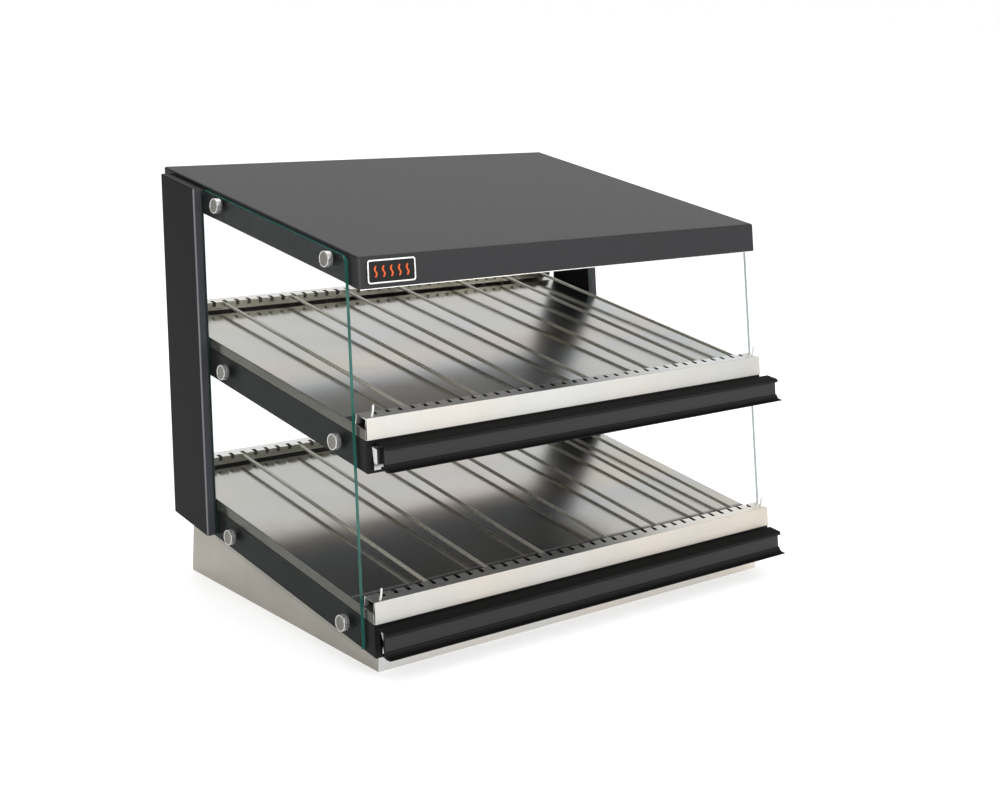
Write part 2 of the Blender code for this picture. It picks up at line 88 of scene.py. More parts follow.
class Shader:
    """One material's node tree, started from its Principled BSDF."""

    def __init__(self, name):
        self.material = bpy.data.materials.new(name)
        self.material.use_nodes = True
        self.tree = self.material.node_tree
        self.surface = self.tree.nodes["Principled BSDF"]
        self.output = self.tree.nodes["Material Output"]
        self.place = self.add("TexCoord").outputs["Object"]

    def feed(self, node, socket, value):
        if isinstance(value, bpy.types.NodeSocket):
            self.tree.links.new(value, node.inputs[socket])
        else:
            node.inputs[socket].default_value = value

    def add(self, kind, inputs=None, **settings):
        node = self.tree.nodes.new(f"ShaderNode{kind}")
        for key, value in settings.items():
            setattr(node, key, value)
        for socket, value in (inputs or {}).items():
            self.feed(node, socket, value)
        return node

    def paint(self, **inputs):
        """Principled inputs by name, with _ for a space."""
        for socket, value in inputs.items():
            self.feed(self.surface, socket.replace("_", " "), value)

    def noise(self, scale, detail=2.0):
        """Noise; a scale of three numbers stretches it: across, up the slope and off it."""
        stretch = scale if isinstance(scale, tuple) else (scale,) * 3
        shrink = tuple(1 / size for size in stretch)
        inputs = {"Vector": self.place, "Rotation": (SLOPE, 0, 0), "Scale": shrink}
        spot = self.add("Mapping", inputs, vector_type="TEXTURE").outputs["Vector"]
        return self.add("TexNoise", {"Vector": spot, "Scale": 1.0, "Detail": detail}).outputs["Fac"]

    def span(self, value, low, high, start=0.3, end=0.7):
        """value from start..end, spread over low..high."""
        inputs = {"Value": value, "From Min": start, "From Max": end, "To Min": low, "To Max": high}
        return self.add("MapRange", inputs).outputs["Result"]

    def mix(self, factor, first, second):
        inputs = {"Fac": factor, "Color1": first, "Color2": second}
        return self.add("MixRGB", inputs).outputs["Color"]

    def bump(self, height, strength, distance):
        inputs = {"Height": height, "Strength": strength, "Distance": distance}
        return self.add("Bump", inputs).outputs["Normal"]

    def blend(self, factor, first, second):
        """Number between first and second."""
        return self.span(factor, first, second, 0.0, 1.0)

    def maths(self, operation, first, second=0.0):
        return self.add("Math", {0: first, 1: second}, operation=operation).outputs["Value"]

    def facing(self, direction):
        """Cosine between the surface's own normal and a direction."""
        normal = self.add("NewGeometry").outputs["True Normal"]
        inputs = {0: normal, 1: tuple(direction)}
        return self.add("VectorMath", inputs, operation="DOT_PRODUCT").outputs["Value"]

    def across_grain(self, grain):
        """Direction in the surface square to the grain, where a highlight spreads."""
        inputs = {0: self.add("NewGeometry").outputs["Normal"], 1: tuple(grain)}
        return self.add("VectorMath", inputs, operation="CROSS_PRODUCT").outputs["Vector"]

    def share(self, axis):
        """Place within the piece's own box, 0 to 1 along an axis."""
        box = self.add("TexCoord").outputs["Generated"]
        return self.add("SeparateXYZ", {"Vector": box}).outputs[axis]


def rgba(colour, factor=1.0):
    return (*(channel * factor for channel in colour), 1.0)


def powder_coat(name, colour, roughness=0.42, specular=0.5, front=None, edge=None):
    """Satin powder coat; front is painted light on the front faces, edge a painted highlight on
    their bends.
    """
    shader = Shader(name)
    peel = shader.noise(1300, detail=3)
    cloud = shader.noise(6)
    tone = shader.mix(cloud, rgba(colour, 0.9), rgba(colour, 1.1))
    # Painted light: the faces turned to the front take the lighter front tone.
    if front:
        partly_front, front_on = 0.7, 0.95
        painted_front_light = shader.span(shader.facing(OFF_FRONT), 0.0, 1.0, partly_front, front_on)
        tone = shader.mix(painted_front_light, tone, shader.mix(cloud, rgba(front, 0.9), rgba(front, 1.1)))
    # Painted highlight: the edge colour on the bends between the sides and the front faces.
    if edge:
        partly = {"low": 0.25, "high": 0.4}
        painted_bend_highlight = shader.maths("MULTIPLY", turned_to(ACROSS, -ACROSS, **partly)(shader),
                            turned_to(OFF_FRONT, **partly)(shader))
        tone = shader.mix(painted_bend_highlight, tone, rgba(edge))
    shader.paint(Base_Color=tone, Roughness=shader.span(peel, roughness - 0.05, roughness + 0.05),
                 Specular_IOR_Level=specular, Normal=shader.bump(peel, 0.35, 0.00012))
    return shader.material


def brushed_steel(name, colour, roughness, grain, anisotropy=0.5, metallic=1.0, layers=()):
    """Steel sheet brushed along grain.

    Each layer is a mask, the colour where it holds, and how metallic that part is.
    """
    shader = Shader(name)
    fine, long_run, mostly, tint = 620, 6, 0.7, 0.05
    stretch = tuple(long_run if abs(axis) > mostly else fine for axis in grain)
    lines = shader.noise(stretch, detail=3)
    smudge = shader.noise(9, detail=4)
    warm = shader.noise(3.3)
    cool = rgba([channel * shift for channel, shift in zip(colour, (1 - tint, 1, 1 + tint))])
    rust = rgba([channel * shift for channel, shift in zip(colour, (1 + tint, 1, 1 - tint))])
    tone = shader.mix(shader.span(warm, 0.0, 1.0), cool, rust)
    tone = shader.mix(shader.span(lines, 0.0, 0.08), tone, rgba(colour, 0.55))
    rough = shader.maths("ADD", shader.span(lines, roughness * 0.95, roughness * 1.05),
                         shader.span(smudge, -0.015, 0.02))
    tone = shader.mix(shader.span(smudge, 0.0, 0.16), tone, rgba(colour, 0.6))
    for mask, cover, metal in layers:
        covered = mask(shader)
        mottled = shader.mix(shader.span(smudge, 0.0, 1.0), rgba(cover, 1.07), rgba(cover, 0.90))
        tone = shader.mix(covered, tone, mottled)
        metallic = shader.blend(covered, metallic, metal)
    shader.paint(Base_Color=tone, Metallic=metallic, Roughness=rough, Anisotropic=anisotropy,
                 Tangent=shader.across_grain(grain), Normal=shader.bump(lines, 0.02, 0.00003))
    return shader.material


def turned_to(*sides, low=0.6, high=0.9):
    """Where a surface is turned to one of the sides."""
    def mask(shader):
        total = 0.0
        for side in sides:
            towards = shader.span(shader.facing(side), 0.0, 1.0, low, high)
            total = shader.maths("MAXIMUM", total, towards)
        return total
    return mask


def rail_shade_mask(shader):
    """Faces of a slotted rail given painted shade: the inside of its channel, and the walls of its
    slots.
    """
    middle, mouth, end = 0.5, 0.488, 0.498
    behind = shader.maths("GREATER_THAN", shader.share("Y"), middle)
    before = shader.maths("SUBTRACT", 1.0, behind)
    front_leg = shader.maths("MULTIPLY", turned_to(UP_SLOPE)(shader), before)
    back_leg = shader.maths("MULTIPLY", turned_to(-UP_SLOPE)(shader), behind)
    legs = shader.maths("MAXIMUM", front_leg, back_leg)
    inside = shader.maths("MAXIMUM", turned_to(-OFF_SLOPE)(shader), legs)
    off_centre = shader.maths("ABSOLUTE", shader.maths("SUBTRACT", shader.share("X"), middle))
    inside = shader.maths("MULTIPLY", inside, shader.span(off_centre, 1.0, 0.3, mouth, middle))
    wall = shader.maths("GREATER_THAN", shader.maths("ABSOLUTE", shader.facing(ACROSS)), 0.5)
    wall = shader.maths("MULTIPLY", wall, shader.maths("LESS_THAN", off_centre, end))
    return shader.maths("MAXIMUM", inside, wall)


def shade_behind_rail(shader):
    """The strip of tray behind the front rail, which low views show only through the slots."""
    strip_start, strip_end = 0.098, 0.112
    low_view, high_view = 0.42, 0.60
    strip = shader.span(shader.share("Y"), 1.0, 0.0, strip_start, strip_end)
    normal = shader.add("NewGeometry")
    inputs = {0: normal.outputs["Incoming"], 1: normal.outputs["True Normal"]}
    steep = shader.add("VectorMath", inputs, operation="DOT_PRODUCT").outputs["Value"]
    return shader.maths("MULTIPLY", strip, shader.span(steep, 1.0, 0.0, low_view, high_view))


def heat_tint(start, end, strength):
    """Soft uneven band across a tray, between two shares of its depth."""
    middle, half = (start + end) / 2, (end - start) / 2

    def mask(shader):
        ragged = shader.span(shader.noise((2.5, 9, 9), 3), -0.04, 0.04)
        place = shader.maths("ADD", shader.share("Y"), ragged)
        away = shader.maths("ABSOLUTE", shader.maths("SUBTRACT", place, middle))
        return shader.span(away, strength, 0.0, 0.0, half)
    return mask


def polished(name, colour, roughness, metallic=1.0):
    shader = Shader(name)
    scuffs = shader.noise((500, 900, 900), detail=3)
    shader.paint(Base_Color=shader.mix(shader.noise(60), rgba(colour, 0.94), rgba(colour, 1.04)),
                 Metallic=metallic,
                 Roughness=shader.span(scuffs, roughness * 0.7, roughness * 1.4),
                 Normal=shader.bump(scuffs, 0.04, 0.00004))
    return shader.material


def plastic(name, colour, roughness, grain=900, depth=0.15, specular=0.5, lines=0.12, flat_top=0.0):
    """Moulded or extruded plastic.

    The grain may follow the extrusion, and flat_top dulls the faces turned up.
    """
    shader = Shader(name)
    texture = shader.noise(grain, detail=2)
    if flat_top:
        specular = shader.blend(turned_to(OFF_SLOPE)(shader), specular, specular * (1 - flat_top))
    shader.paint(Base_Color=shader.mix(texture, rgba(colour, 1 - lines), rgba(colour, 1 + lines)),
                 Roughness=shader.span(texture, roughness - 0.05, roughness + 0.06),
                 Specular_IOR_Level=specular, Normal=shader.bump(texture, depth, 0.00008))
    return shader.material


def clear_glass(name, edge_strength, edge_dark, edge_light):
    """Thin clear pane: its broad faces let light through, its ground edges are coloured."""
    shader = Shader(name)
    clear = shader.add("BsdfTransparent", {"Color": (0.985, 0.995, 0.992, 1)}).outputs["BSDF"]
    fresnel = shader.add("Fresnel", {"IOR": 1.45}).outputs["Fac"]
    outside = shader.maths("SUBTRACT", 1.0, shader.add("NewGeometry").outputs["Backfacing"])
    # Painted reflection: the outer broad faces glow faintly, by Fresnel and streaks.
    streaks = shader.span(shader.noise((1.5, 5, 5), detail=3), 0.045, 0.10)
    painted_reflection = shader.maths("MULTIPLY", shader.maths("MULTIPLY", fresnel, outside), streaks)
    painted_sheen = shader.add("Emission", {"Color": (0.95, 1.0, 1.0, 1), "Strength": painted_reflection})
    pane = shader.add("AddShader", {0: clear, 1: painted_sheen.outputs["Emission"]}).outputs["Shader"]
    ripple = shader.noise((60, 60, 14), detail=3)
    tone = shader.mix(shader.span(ripple, 0.0, 1.0), rgba(edge_dark), rgba(edge_light))
    # Painted glow: the ground edges emit faintly in their light tone.
    shader.paint(Base_Color=tone, Roughness=0.22, Emission_Color=rgba(edge_light),
                 Emission_Strength=0.06, Normal=shader.bump(ripple, 0.2, 0.0002))
    broad_face = 0.8
    edge = shader.maths("LESS_THAN", shader.maths("ABSOLUTE", shader.facing(ACROSS)), broad_face)
    edge = shader.maths("MULTIPLY", edge, shader.span(outside, 0.12, edge_strength, 0.0, 1.0))
    whole = shader.add("MixShader", {0: edge, 1: pane, 2: shader.surface.outputs["BSDF"]})
    shader.feed(shader.output, "Surface", whole.outputs["Shader"])
    return shader.material


def dull_sheath(name, colour):
    """Oxidised heater sheath: mottled, warm and dull."""
    shader = Shader(name)
    patches = shader.noise(45, detail=5)
    tone = shader.mix(patches, rgba(colour, 0.6), rgba((0.30, 0.22, 0.16)))
    shader.paint(Base_Color=tone, Metallic=0.7, Roughness=shader.span(patches, 0.45, 0.7),
                 Normal=shader.bump(patches, 0.2, 0.0003))
    return shader.material


def make_finishes():
    # Painted shade: a near-black tone for the inside of the rails' channels and their slot walls.
    painted_rail_shade = (rail_shade_mask, (0.010, 0.010, 0.010), 0.2)
    # Faces turned down; on the pan they take a near-black painted shade.
    down = turned_to(-OFF_SLOPE)
    ends = turned_to(-ACROSS, ACROSS)
    return {
        # Canopy and column: front is a lighter tone painted on the front faces as light, edge a
        # painted highlight on their bends.
        "canopy": powder_coat("canopy_powder", (0.0115, 0.0118, 0.0124), specular=0.27,
                              front=(0.017, 0.0175, 0.0195), edge=(0.045, 0.046, 0.050)),
        "powder": powder_coat("black_powder", (0.0072, 0.0072, 0.0076), specular=0.17),
        "column": powder_coat("column_powder", (0.0066, 0.0067, 0.0071), roughness=0.40,
                              specular=0.09, front=(0.060, 0.062, 0.069), edge=(0.24, 0.24, 0.26)),
        "lip": brushed_steel("lip_steel", (0.67, 0.64, 0.59), 0.34, ACROSS, metallic=0.9),
        # The base's end faces take a darker tone: painted shade.
        "base": brushed_steel("base_steel", (0.89, 0.855, 0.80), 0.34, ACROSS,
                              layers=((ends, (0.46, 0.435, 0.39), 1.0),)),
        "tray": brushed_steel(
            "tray_steel", (0.60, 0.585, 0.555), 0.18, TRAY_GRAIN, anisotropy=0.9, layers=(
                (heat_tint(start=0.30, end=0.62, strength=0.45), (0.66, 0.545, 0.45), 1.0),
                (heat_tint(start=0.20, end=0.42, strength=0.40), (0.45, 0.49, 0.56), 1.0),
                (shade_behind_rail, (0.02, 0.02, 0.02), 0.2),
                # The tray's side faces take a dark olive tone: painted shade.
                (turned_to(ACROSS, -ACROSS), (0.115, 0.111, 0.094), 0.6))),
        "front_rail": brushed_steel("front_rail_steel", (0.90, 0.88, 0.84), 0.30, ACROSS,
                                    layers=(painted_rail_shade,)),
        "rear_rail": brushed_steel("rear_rail_steel", (0.92, 0.90, 0.87), 0.32, ACROSS, layers=(
            # The rear rail's faces turned to the front take a darker olive tone: painted shade.
            (turned_to(-UP_SLOPE), (0.42, 0.405, 0.335), 0.8),
            # A lighter painted shade in the rear rail's channel and on its slot walls.
            (rail_shade_mask, (0.16, 0.155, 0.135), 0.2))),
        # The pan's downward faces get painted shade.
        "pan": brushed_steel("pan_steel", (0.88, 0.86, 0.82), 0.25, ACROSS,
                             layers=((down, (0.035, 0.034, 0.033), 0.2),)),
        "panel": brushed_steel("panel_steel", (0.66, 0.635, 0.59), 0.30, ACROSS),
        "rod": brushed_steel("rod_steel", (0.60, 0.57, 0.485), 0.28, UP_SLOPE, metallic=0.5),
        "polished": polished("polished_steel", (0.78, 0.77, 0.755), 0.20),
        "cap": polished("cap_steel", (0.66, 0.655, 0.64), 0.22, metallic=0.8),
        "cap_centre": polished("cap_centre_steel", (0.23, 0.225, 0.20), 0.34),
        # The extrusion's cut ends are pale and nearly matte: partly the bare cut end, partly a
        # painted highlight.
        "aluminium": brushed_steel("extruded_aluminium", (0.90, 0.90, 0.89), 0.34, ACROSS,
                                   anisotropy=0.3, layers=((ends, (0.93, 0.93, 0.90), 0.1),)),
        "rail_plastic": plastic("rail_plastic", (0.0085, 0.0085, 0.0083), 0.50,
                                grain=(8, 420, 420), depth=0.35, specular=0.12, lines=0.5,
                                flat_top=0.9),
        "insert": plastic("label_insert_plastic", (0.030, 0.0295, 0.0285), 0.45,
                          grain=(8, 600, 600), depth=0.05, specular=0.22),
        "moulded": plastic("moulded_black", (0.018, 0.018, 0.018), 0.40),
        "cord": plastic("cord_rubber", (0.016, 0.016, 0.016), 0.50, grain=1500),
        "white": plastic("white_nylon", (0.78, 0.78, 0.76), 0.35, grain=1200, depth=0.05),
        "print": plastic("white_print", (0.70, 0.70, 0.68), 0.50, grain=1200, depth=0.05),
        "badge_field": plastic("badge_field", (0.004, 0.0045, 0.0045), 0.25, grain=1500,
                               depth=0.02, specular=0.2),
        "badge_waves": plastic("badge_waves", (0.78, 0.12, 0.025), 0.35, grain=1500,
                               depth=0.02, specular=0.2),
        "element": dull_sheath("heater_sheath", (0.16, 0.14, 0.12)),
        "foil": brushed_steel("heater_foil", (0.70, 0.70, 0.70), 0.38, ACROSS),
        "glass": clear_glass("clear_glass", edge_strength=1.0, edge_dark=(0.005, 0.062, 0.048),
                             edge_light=(0.022, 0.135, 0.110)),
        "right_glass": clear_glass("clear_glass_right", edge_strength=0.75,
                                   edge_dark=(0.020, 0.060, 0.058),
                                   edge_light=(0.075, 0.150, 0.145)),
    }


FINISH_BY_ENDING = (
    ("right_glass_panel", "right_glass"), ("glass_panel", "glass"), ("_column", "column"),
    ("shelf_body", "powder"), ("canopy_shell", "canopy"),
    ("canopy_bottom_pan", "pan"), ("canopy_heater", "element"), ("heater_plate", "foil"),
    ("front_lip", "lip"), ("_tray", "tray"), ("front_slotted_rail", "front_rail"),
    ("rear_slotted_rail", "rear_rail"), ("base_cabinet", "base"),
    ("rear_control_panel", "panel"), ("price_rail_mount", "aluminium"),
    ("price_rail", "rail_plastic"), ("heat_knob", "moulded"), ("power_switch", "moulded"),
    ("power_cord", "cord"), ("end_pin", "white"),
)


def finish_nodes():
    """Gives each shown CAD node its finish."""
    for name, node in NODES.items():
        for ending, finish in FINISH_BY_ENDING:
            if name.endswith(ending):
                node.data.materials.clear()
                node.data.materials.append(FINISHES[finish])
                break


def add_modifier(piece, kind, **settings):
    modifier = piece.modifiers.new(kind.lower(), kind)
    for key, value in settings.items():
        setattr(modifier, key, value)


def soften(name, width):
    """Fine rounding along a CAD node's edges, with flat faces kept flat."""
    node = NODES[name]
    node.data.shade_smooth()
    add_modifier(node, "WELD", merge_threshold=MERGE)
    add_modifier(node, "BEVEL", width=width, segments=2, limit_method="ANGLE",
                 angle_limit=math.radians(30))
    add_modifier(node, "WEIGHTED_NORMAL", weight=100)


def round_out(name):
    """Smooths a CAD tube."""
    node = NODES[name]
    node.data.shade_smooth()
    add_modifier(node, "WELD", merge_threshold=MERGE)
    add_modifier(node, "SUBSURF", levels=2, render_levels=2)


def smooth_nodes():
    for name in ("canopy_shell", "left_column", "right_column", "low_shelf_body", "mid_shelf_body",
                 "low_tray", "mid_tray", "base_cabinet", "low_front_lip", "mid_front_lip"):
        soften(name, SHEET_EDGE)
    for name in ("power_switch", "rear_control_panel", "low_price_rail", "mid_price_rail"):
        soften(name, FINE_EDGE)
    pins = [f"{tier}_{side}_end_pin" for tier in TIERS for side in SIDES]
    for name in ["power_cord", "canopy_heater"] + pins:
        round_out(name)


# ---------------------------------------------------------------- mesh helpers

def add_piece(name, mesh, body, finishes, place=None):
    """New piece from a mesh, in its place, riding on a body."""
    piece = bpy.data.objects.new(name, mesh)
    bpy.context.scene.collection.objects.link(piece)
    if place:
        piece.matrix_world = place
    if not mesh.materials:
        for finish in finishes:
            mesh.materials.append(FINISHES[finish])
    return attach(piece, body)


def frame_at(origin, x_axis, y_axis):
    """Matrix with the given origin and axes."""
    z_axis = x_axis.cross(y_axis)
    return Matrix.Translation(origin) @ Matrix((x_axis, y_axis, z_axis)).transposed().to_4x4()


def turned_mesh(name, profile, steps=48, bands=()):
    """Mesh turned about local Z from (radius, height) points; bands are the spans with slot 1."""
    shape = bmesh.new()
    rings = []
    for radius, height in profile:
        if radius < 1e-7:
            rings.append([shape.verts.new((0, 0, height))])
            continue
        turns = [2 * math.pi * step / steps for step in range(steps)]
        rings.append([shape.verts.new((radius * math.cos(turn), radius * math.sin(turn), height))
                      for turn in turns])
    for index, (ring, after) in enumerate(zip(rings, rings[1:])):
        for step in range(steps):
            follow = (step + 1) % steps
            corners = [ring[step % len(ring)], ring[follow % len(ring)],
                       after[follow % len(after)], after[step % len(after)]]
            face = shape.faces.new(list(dict.fromkeys(corners)))
            face.smooth = True
            face.material_index = 1 if index in bands else 0
    bmesh.ops.recalc_face_normals(shape, faces=shape.faces)
    mesh = bpy.data.meshes.new(name)
    shape.to_mesh(mesh)
    shape.free()
    mesh.set_sharp_from_angle(angle=math.radians(32))
    return mesh


def fillet(centre, radius, start, end, steps=4):
    """(radius, height) points of a fillet, angles in degrees."""
    turns = [math.radians(start + (end - start) * step / steps) for step in range(steps + 1)]
    return [(centre[0] + radius * math.cos(turn), centre[1] + radius * math.sin(turn))
            for turn in turns]


def outline_mesh(name, outlines, thickness, edge):
    """Plate from closed outlines, later ones being holes, with rounded edges."""
    curve = bpy.data.curves.new(name, "CURVE")
    curve.dimensions = "2D"
    curve.fill_mode = "BOTH"
    curve.extrude = thickness / 2 - edge
    curve.bevel_depth = edge
    curve.bevel_resolution = 2
    curve.offset = -edge
    for points in outlines:
        spline = curve.splines.new("POLY")
        spline.points.add(len(points) - 1)
        for point, (x, y) in zip(spline.points, points):
            point.co = (x, y, 0, 1)
        spline.use_cyclic_u = True
    maker = bpy.data.objects.new(f"{name}_maker", curve)
    bpy.context.scene.collection.objects.link(maker)
    bpy.context.view_layer.update()
    evaluated = maker.evaluated_get(bpy.context.evaluated_depsgraph_get())
    mesh = bpy.data.meshes.new_from_object(evaluated)
    bpy.data.objects.remove(maker)
    shape = bmesh.new()
    shape.from_mesh(mesh)
    bmesh.ops.remove_doubles(shape, verts=shape.verts, dist=1e-6)
    bmesh.ops.recalc_face_normals(shape, faces=shape.faces)
    shape.to_mesh(mesh)
    shape.free()
    mesh.materials.clear()
    return mesh


def rounded_rectangle(width, height, radius):
    steps = 6
    points = []
    for corner, (x, y) in enumerate(((1, 1), (-1, 1), (-1, -1), (1, -1))):
        centre = (x * (width / 2 - radius), y * (height / 2 - radius))
        points += fillet(centre, radius, corner * 90, corner * 90 + 90, steps)
    return points


def wave_outline(x, height, swing, width):
    """Upright S-shaped bar with round ends."""
    steps = 20

    def centre(share):
        return x + swing * math.sin(2 * math.pi * share), (share - 0.5) * height

    right = [(centre(i / steps)[0] + width / 2, centre(i / steps)[1]) for i in range(steps + 1)]
    left = [(u - width, v) for u, v in reversed(right)]
    top = fillet(centre(1), width / 2, 0, 180, 6)[1:-1]
    bottom = fillet(centre(0), width / 2, 180, 360, 6)[1:-1]
    return right + top + left + bottom


def boxes_mesh(name, boxes, edge):
    """Several rounded boxes in one mesh: (centre, size, turn about local Z) each."""
    shape = bmesh.new()
    for centre, size, turn in boxes:
        place = Matrix.Rotation(turn, 4, "Z") @ Matrix.Translation(centre)
        made = bmesh.ops.create_cube(shape, matrix=place @ Matrix.Diagonal((*size, 1)))
        rims = list({rim for vertex in made["verts"] for rim in vertex.link_edges})
        bmesh.ops.bevel(shape, geom=rims, offset=edge, segments=2, profile=0.5, affect="EDGES")
    mesh = bpy.data.meshes.new(name)
    shape.to_mesh(mesh)
    shape.free()
    return mesh


# ---------------------------------------------------------------- fine pieces

def make_standoff_caps():
    """Glass caps: polished rim round a dark brushed dish, with a groove half way up the side."""
    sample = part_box("left_low_front_standoff")
    radius = (sample[1].z - sample[0].z) / 2
    height = 0.0094
    stud, depth = 0.0045, (sample[1].x - sample[0].x) - height
    rim, dish, groove = 0.0021, 0.0011, 0.0005
    inner_bead, outer_bead, heel = 0.0006, 0.0008, 0.0004
    profile = [(0, height - dish), (radius - rim - heel, height - dish),
               (radius - rim, height - inner_bead)]
    profile += fillet((radius - rim + inner_bead, height - inner_bead), inner_bead, 180, 90)
    profile += fillet((radius - outer_bead, height - outer_bead), outer_bead, 90, 0)
    profile += [(radius, height * 0.62), (radius - groove, height * 0.60),
                (radius - groove, height * 0.52), (radius, height * 0.50)]
    profile += fillet((radius - heel, heel), heel, 0, -90)
    profile += [(stud, 0), (stud, -depth), (0, -depth)]
    mesh = turned_mesh("standoff_cap", profile, bands=(0, 1))
    for name in [n for n in NODES if n.endswith("standoff")]:
        low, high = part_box(name)
        sign = -1 if name.startswith("left") else 1
        outer = low.x if sign < 0 else high.x
        origin = Vector((outer - sign * height, (low.y + high.y) / 2, (low.z + high.z) / 2))
        out = sign * ACROSS
        place = frame_at(origin, UP, out.cross(UP))
        cap = add_piece(f"{name}_cap", mesh, "case", ("cap", "cap_centre"), place)
        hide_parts(name)


def make_rods():
    """Divider rods with rounded ends."""
    for body in [b for b in frame["bodies"] if "_rod_" in b]:
        name = body.replace("_rod_", "_divider_rod_")
        points = [vertex.co for vertex in NODES[name].data.vertices]
        along = [point.dot(UP_SLOPE) for point in points]
        middle = (min(along) + max(along)) / 2
        ends = []
        for keep in (lambda value: value < middle, lambda value: value > middle):
            group = [point for point, value in zip(points, along) if keep(value)]
            ends.append(sum(group, Vector()) / len(group))
        axis = (ends[1] - ends[0]).normalized()
        length = (ends[1] - ends[0]).length
        radius = (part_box(name)[1].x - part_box(name)[0].x) / 2
        nose = 0.0012
        profile = [(0, 0)] + fillet((radius - nose, nose), nose, -90, 0)
        profile += fillet((radius - nose, length - nose), nose, 0, 90) + [(0, length)]
        mesh = turned_mesh(f"{name}_bar", profile, steps=32)
        place = frame_at(ends[0], ACROSS, axis.cross(ACROSS))
        rod = add_piece(f"{name}_bar", mesh, body, ("rod",), place)
        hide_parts(name)


def make_badge():
    """Badge: silver frame round a black field with five plain heat waves."""
    low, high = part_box("badge")
    width = high.x - low.x
    thickness = 0.0024
    height = ((high.z - low.z) - thickness * math.sin(SLOPE)) / math.cos(SLOPE)
    place = frame_at((low + high) / 2, ACROSS, UP_FRONT)
    rim, corner, inner_corner, play = 0.0026, 0.0045, 0.0028, 0.0001
    outer = rounded_rectangle(width, height, corner)
    inner = rounded_rectangle(width - 2 * rim, height - 2 * rim, inner_corner)
    ring = outline_mesh("badge_frame", [outer, inner], thickness, 0.0005)
    border = add_piece("badge_frame", ring, "case", ("polished",), place)
    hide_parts("badge")
    inset = 2 * (rim + play)
    field = rounded_rectangle(width - inset, height - inset, inner_corner - play)
    field_depth = thickness * 0.6
    sunk = place @ Matrix.Translation((0, 0, -(thickness - field_depth) / 2))
    plate = outline_mesh("badge_panel", [field], field_depth, 0.0002)
    panel = add_piece("badge_panel", plate, "case", ("badge_field",), sunk)
    spread = (width - 2 * rim) * 0.70
    swing, stroke, relief = 0.0017, 0.0031, 0.0006
    waves = [wave_outline(spread * (number / 4 - 0.5), height * 0.40, swing, stroke)
             for number in range(5)]
    raised = place @ Matrix.Translation((0, 0, field_depth - thickness / 2 + relief / 2 - play))
    bars = outline_mesh("badge_heat_waves", waves, relief, 0.0001)
    marks = add_piece("badge_heat_waves", bars, "case", ("badge_waves",), raised)


def lip_corner(tier):
    """Top front edge of a tier's lip, where the level's heights and setbacks start."""
    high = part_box(f"{tier}_front_lip")[1]
    return Vector((0, high.y - LIP_SHEET * math.cos(SLOPE), high.z - LIP_SHEET * math.sin(SLOPE)))


def make_label_inserts():
    """Thin dark strip in each label rail, held by its upper and lower lips."""
    setback, top, bottom, sheet = -0.0214, -0.0352, -0.0632, 0.0004
    for tier in TIERS:
        low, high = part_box(f"{tier}_price_rail")
        size = (high.x - low.x - 0.002, (top - bottom) / math.cos(2 * SLOPE), sheet)
        middle = (top + bottom) / 2
        centre = lip_corner(tier) + UP_SLOPE * (setback + RAKE * middle) + OFF_SLOPE * middle
        centre.x = (low.x + high.x) / 2
        mesh = boxes_mesh(f"{tier}_label_insert", [(Vector(), size, 0.0)], sheet / 4)
        strip = add_piece(f"{tier}_label_insert", mesh, f"{tier}_label_rail", ("insert",),
                          frame_at(centre, ACROSS, UP_FRONT))


def make_dials():
    """Printed scale round each heat knob, and a pointer on its grip."""
    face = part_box("rear_control_panel")[1].y
    print_depth, tick_gap, steps = 0.0002, 0.0045, 10
    for tier in TIERS:
        low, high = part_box(f"{tier}_heat_knob")
        centre = Vector(((low.x + high.x) / 2, face, (low.z + high.z) / 2))
        place = frame_at(centre, -ACROSS, UP)
        spot = Vector((0, (high.x - low.x) / 2 + tick_gap, print_depth / 2))
        ticks = []
        for number in range(steps + 1):
            size = (0.0010, 0.0040 if number % 5 == 0 else 0.0025, print_depth)
            ticks.append((spot, size, math.radians(-KNOB_SWEEP * number / steps)))
        ring = boxes_mesh(f"{tier}_dial_scale", ticks, 0.00005)
        scale = add_piece(f"{tier}_dial_scale", ring, "case", ("moulded",), place)
        pointer = [(Vector((0, 0.0125, high.y - face + 0.0001)), (0.0016, 0.0075, 0.0004), 0.0)]
        bar = boxes_mesh(f"{tier}_knob_pointer", pointer, 0.0001)
        mark = add_piece(f"{tier}_knob_pointer", bar, f"{tier}_knob", ("print",), place)


def make_rear_fittings():
    """Panel screws and the bezel round the rocker."""
    low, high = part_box("rear_control_panel")
    inset = 0.008
    head, dome = 0.0032, 0.0014
    profile = [(0, dome * 0.4), (head * 0.28, dome * 0.4), (head * 0.36, dome)]
    profile += fillet((head - dome, 0), dome, 80, 0, 5) + [(head, 0), (0, 0)]
    mesh = turned_mesh("panel_screw", profile, steps=24)
    spots = [(x, z) for x in (low.x + inset, (low.x + high.x) / 2, high.x - inset)
             for z in (low.z + inset, high.z - inset)]
    for number, (x, z) in enumerate(spots, start=1):
        place = frame_at(Vector((x, high.y, z)), -ACROSS, UP)
        screw = add_piece(f"panel_screw_{number}", mesh, "case", ("polished",), place)
    switch = [sum(pair) / 2 for pair in zip(*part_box("power_switch"))]
    bezel_depth = 0.0012
    centre = Vector((switch[0], high.y + bezel_depth / 2, (low.z + high.z) / 2))
    place = frame_at(centre, -ACROSS, UP)
    rims = [rounded_rectangle(0.027, 0.035, 0.003), rounded_rectangle(0.0222, 0.0302, 0.001)]
    ring = outline_mesh("switch_bezel", rims, bezel_depth, 0.0003)
    bezel = add_piece("switch_bezel", ring, "case", ("moulded",), place)


# ---------------------------------------------------------------- studio

FLOOR_SIZE = 400
FLOOR_GLOW = 0.26
FLOOR_GLOW_SEEN = 0.48
DIM_SIDE = Vector((-0.80, 0.50, -0.30))
DIM_FROM, DIM_TO = 0.57, 0.79
BRIGHT, DIM = 0.85, 0.06


